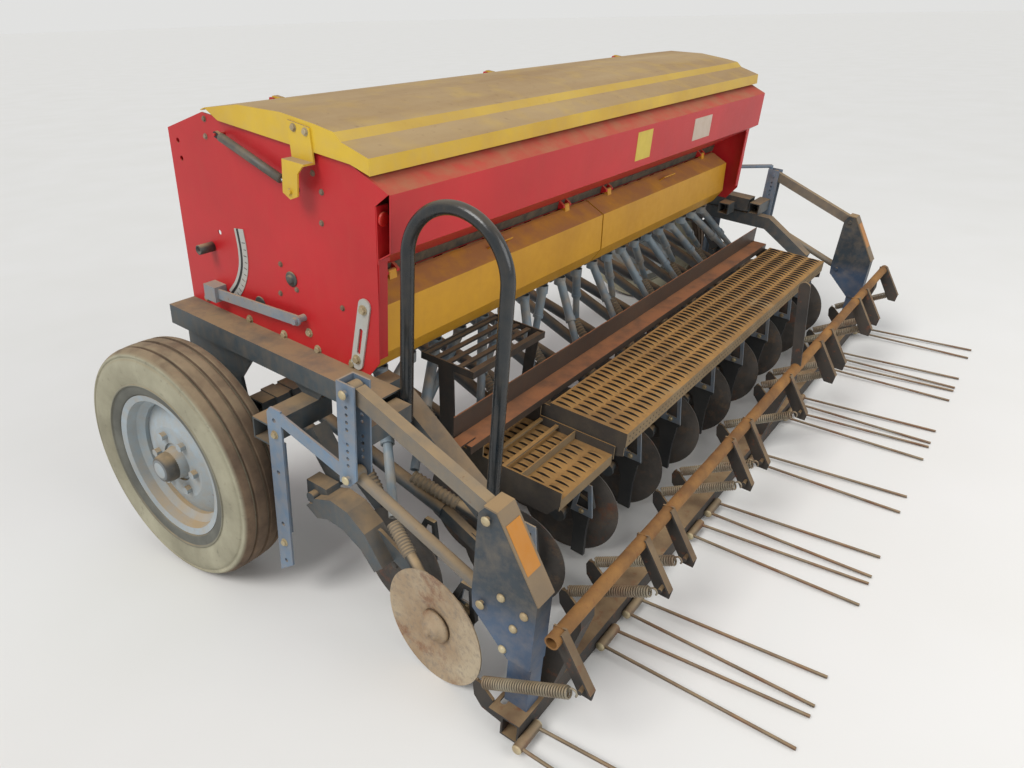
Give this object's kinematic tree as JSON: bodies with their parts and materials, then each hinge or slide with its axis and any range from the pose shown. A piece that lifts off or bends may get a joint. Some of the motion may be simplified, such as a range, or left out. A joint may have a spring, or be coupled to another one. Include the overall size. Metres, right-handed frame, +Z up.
{
  "type": "mounted seed drill",
  "caption": "Mounted seed drill with a wide lidded hopper, disc coulters, a loading step with handrail, end wheels and a trailing tined harrow.",
  "frame": {"origin": "on the ground, under the middle of the overall box, as the drill parks leaning back on its wheels and discs", "axes": "+X to the machine's right across its width, +Y forward to the tractor, +Z up"},
  "size_m": [3.118, 2.2302, 1.3318],
  "materials": {
    "frame_paint": "gloss",
    "hopper_red": "satin",
    "lid_yellow": "satin",
    "plate_blue": "matte",
    "wheel_paint": "satin",
    "tyre": "matte",
    "black_steel": "satin",
    "housing_plastic": "matte",
    "tube_plastic": "matte",
    "worn_disc": "worn",
    "step_ochre": "matte",
    "kick_brown": "matte",
    "harrow_brown": "matte",
    "tine_steel": "worn",
    "strut_black": "satin",
    "rod_chrome": "polished"
  },
  "bodies": {
    "drill": {"main_frame": "frame_paint", "headstock": "frame_paint", "axle_left": "frame_paint", "axle_right": "frame_paint", "hopper_shell": "hopper_red", "side_plate_left": "hopper_red", "side_plate_right": "hopper_red", "agitator_shaft": "black_steel", "metering_row": "housing_plastic", "seed_tubes": "tube_plastic", "coulter_rail": "frame_paint", "coulter_arms": "frame_paint", "coulter_discs": "worn_disc", "coulter_boots": "black_steel", "step_carrier_left": "frame_paint", "step_carrier_right": "frame_paint", "kick_plate": "kick_brown", "tread_board": "step_ochre", "lower_step": "step_ochre", "upper_rack": "black_steel", "handrail": "frame_paint", "peg_bracket_left": "plate_blue", "peg_bracket_right": "plate_blue", "rear_bar_left": "plate_blue", "rear_bar_right": "plate_blue", "setting_lever": "frame_paint", "adjuster_left": "plate_blue", "adjuster_right": "plate_blue"},
    "wheel_left_body": {"wheel_left": "wheel_paint", "tyre_left": "tyre"},
    "wheel_right_body": {"wheel_right": "wheel_paint", "tyre_right": "tyre"},
    "lid_body": {"lid": "lid_yellow", "lid_bracket_left": "lid_yellow", "lid_bracket_right": "lid_yellow"},
    "strut_barrel_left_body": {"strut_barrel_left": "strut_black"},
    "strut_barrel_right_body": {"strut_barrel_right": "strut_black"},
    "strut_rod_left_body": {"strut_rod_left": "rod_chrome"},
    "strut_rod_right_body": {"strut_rod_right": "rod_chrome"},
    "cover_left_body": {"cover_left": "lid_yellow"},
    "cover_right_body": {"cover_right": "lid_yellow"},
    "harrow_lower_links_body": {"harrow_lower_links": "harrow_brown"},
    "harrow_upper_links_body": {"harrow_upper_links": "harrow_brown"},
    "harrow_body": {"harrow_carriages": "plate_blue", "harrow_beam": "harrow_brown", "harrow_tube": "harrow_brown", "harrow_springs": "black_steel", "harrow_tines": "tine_steel"}
  },
  "joints": [
    {"name": "wheel_left_spin", "type": "hinge", "parent": "drill", "child": "wheel_left_body", "pos_m": [-1.467, 0.6163, 0.36], "axis": [1, 0, 0], "continuous": true},
    {"name": "wheel_right_spin", "type": "hinge", "parent": "drill", "child": "wheel_right_body", "pos_m": [1.467, 0.6163, 0.36], "axis": [1, 0, 0], "continuous": true},
    {"name": "lid_hinge", "type": "hinge", "parent": "drill", "child": "lid_body", "pos_m": [0, 0.5657, 1.31642], "axis": [-1, 0, 0], "range_deg": [0, 70]},
    {"name": "cover_left_hinge", "type": "hinge", "parent": "drill", "child": "cover_left_body", "pos_m": [-0.604, 0.12426, 0.89776], "axis": [-1, 0, 0], "range_deg": [0, 55]},
    {"name": "cover_right_hinge", "type": "hinge", "parent": "drill", "child": "cover_right_body", "pos_m": [0.604, 0.12426, 0.89776], "axis": [-1, 0, 0], "range_deg": [0, 55]},
    {"name": "harrow_lift", "type": "hinge", "parent": "drill", "child": "harrow_lower_links_body", "pos_m": [0, -0.08332, 0.52889], "axis": [-1, 0, 0], "range_deg": [0, 22]},
    {"name": "harrow_upper_swing", "type": "hinge", "parent": "drill", "child": "harrow_upper_links_body", "pos_m": [0, -0.10992, 0.76238], "axis": [-1, 0, 0], "range_deg": [-1, 23]},
    {"name": "harrow_level", "type": "hinge", "parent": "harrow_lower_links_body", "child": "harrow_body", "pos_m": [0, -0.47483, 0.34337], "axis": [-1, 0, 0], "range_deg": [-23, 1]},
    {"name": "strut_barrel_left_swing", "type": "hinge", "parent": "drill", "child": "strut_barrel_left_body", "pos_m": [-1.2705, 0.48172, 1.25854], "axis": [-1, 0, 0], "range_deg": [-0.5, 82]},
    {"name": "strut_rod_left_slide", "type": "slide", "parent": "strut_barrel_left_body", "child": "strut_rod_left_body", "axis": [0, -0.9277, -0.3733], "range_m": [-0.0005, 0.0955]},
    {"name": "strut_barrel_right_swing", "type": "hinge", "parent": "drill", "child": "strut_barrel_right_body", "pos_m": [1.2705, 0.48172, 1.25854], "axis": [-1, 0, 0], "range_deg": [-0.5, 82]},
    {"name": "strut_rod_right_slide", "type": "slide", "parent": "strut_barrel_right_body", "child": "strut_rod_right_body", "axis": [0, -0.9277, -0.3733], "range_m": [-0.0005, 0.0955]}
  ],
  "couplings": [
    {"joint": "harrow_upper_swing", "follows": "harrow_lift", "ratio": 1},
    {"joint": "harrow_level", "follows": "harrow_lift", "ratio": -1},
    {"joint": "strut_barrel_left_swing", "follows": "lid_hinge", "ratio": 1.164},
    {"joint": "strut_rod_left_slide", "follows": "lid_hinge", "m_per_rad": 0.0773},
    {"joint": "strut_barrel_right_swing", "follows": "lid_hinge", "ratio": 1.164},
    {"joint": "strut_rod_right_slide", "follows": "lid_hinge", "m_per_rad": 0.0773}
  ]
}
